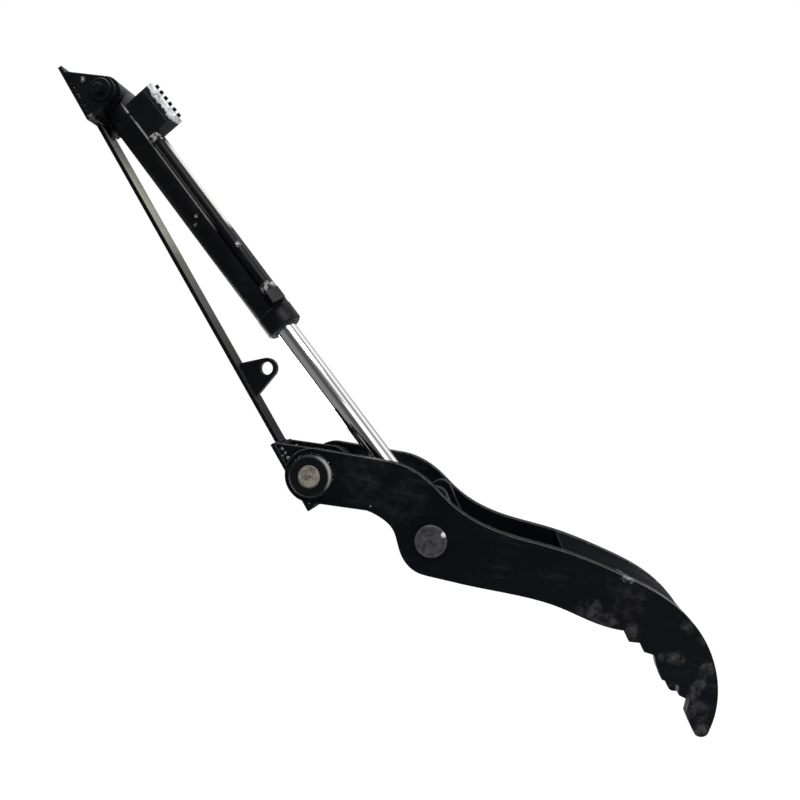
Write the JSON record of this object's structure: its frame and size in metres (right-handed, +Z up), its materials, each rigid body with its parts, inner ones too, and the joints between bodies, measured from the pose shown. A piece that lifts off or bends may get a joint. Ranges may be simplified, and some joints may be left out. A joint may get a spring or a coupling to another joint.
{
  "type": "excavator thumb",
  "caption": "Weld-on hydraulic thumb for an excavator: a mounting bar whose cylinder swings a curved, toothed thumb against the bucket.",
  "frame": {"origin": "on the centreline of the weld face, level with the thumb's pivot pin", "axes": "-X into the excavator's stick, +Z up the stick from the thumb pivot to the cylinder anchor, +Y along the pins"},
  "size_m": [0.4951, 0.23, 1.6141],
  "materials": {
    "black_paint": "satin black paint, lightly scuffed",
    "pin_steel": "turned steel",
    "bare_steel": "zinc plated steel",
    "bush_bronze": "turned bronze",
    "rod_chrome": "hard chrome",
    "seal_rubber": "matt",
    "cover_grey": "pale grey paint"
  },
  "bodies": {
    "base": {"base_bar": "black_paint", "anchor_plate": "black_paint", "pivot_plate": "black_paint", "anchor_rib": "black_paint", "stow_lug": "black_paint", "pivot_tube": "black_paint", "pivot_nipple": "bare_steel", "anchor_pin": "pin_steel", "anchor_ear_near": "black_paint", "anchor_ear_far": "black_paint", "pivot_ear_near": "black_paint", "pivot_ear_far": "black_paint", "pivot_bush_near": "bush_bronze", "pivot_bush_far": "bush_bronze", "anchor_washer_near": "bare_steel", "anchor_washer_far": "bare_steel", "anchor_bolt_near": "bare_steel", "anchor_bolt_far": "bare_steel"},
    "barrel": {"barrel_eye": "black_paint", "barrel_bush": "bush_bronze", "barrel_tube": "black_paint", "gland": "black_paint", "rod_wiper": "seal_rubber", "valve_block": "black_paint", "valve_cover": "cover_grey", "cover_screws": "black_paint", "hard_pipe": "black_paint", "pipe_nuts": "bare_steel", "head_port": "black_paint", "pipe_saddle": "black_paint", "anchor_nipple": "bare_steel"},
    "rod": {"rod": "rod_chrome", "piston": "bare_steel", "piston_seals": "seal_rubber", "piston_nut": "bare_steel", "rod_eye": "black_paint", "rod_bush": "bush_bronze", "rod_pin_core": "pin_steel", "rod_nipple": "bare_steel"},
    "thumb": {"pivot_pin": "pin_steel", "lock_bolt": "bare_steel", "back_cover": "black_paint", "palm_plate": "black_paint", "cross_web": "black_paint", "side_plate_near": "black_paint", "side_plate_far": "black_paint", "hub_boss_near": "black_paint", "hub_boss_far": "black_paint", "inner_ear_near": "black_paint", "inner_ear_far": "black_paint", "rod_pin_near": "pin_steel", "rod_pin_far": "pin_steel"}
  },
  "joints": [
    {"name": "thumb_swing", "type": "hinge", "parent": "base", "child": "thumb", "pos_m": [0.052, 0, 0], "axis": [0, -1, 0], "range_deg": [0, 115]},
    {"name": "cylinder_swing", "type": "hinge", "parent": "base", "child": "barrel", "pos_m": [0.052, 0, 0.833], "axis": [0, -1, 0], "range_deg": [0, 4.42]},
    {"name": "rod_stroke", "type": "slide", "parent": "barrel", "child": "rod", "axis": [-0.1233, 0, 0.9924], "range_m": [0, 0.3984]}
  ],
  "couplings": [
    {"joint": "cylinder_swing", "follows": "thumb_swing", "ratio": 0.038321},
    {"joint": "rod_stroke", "follows": "thumb_swing", "m_per_rad": 0.19837}
  ]
}
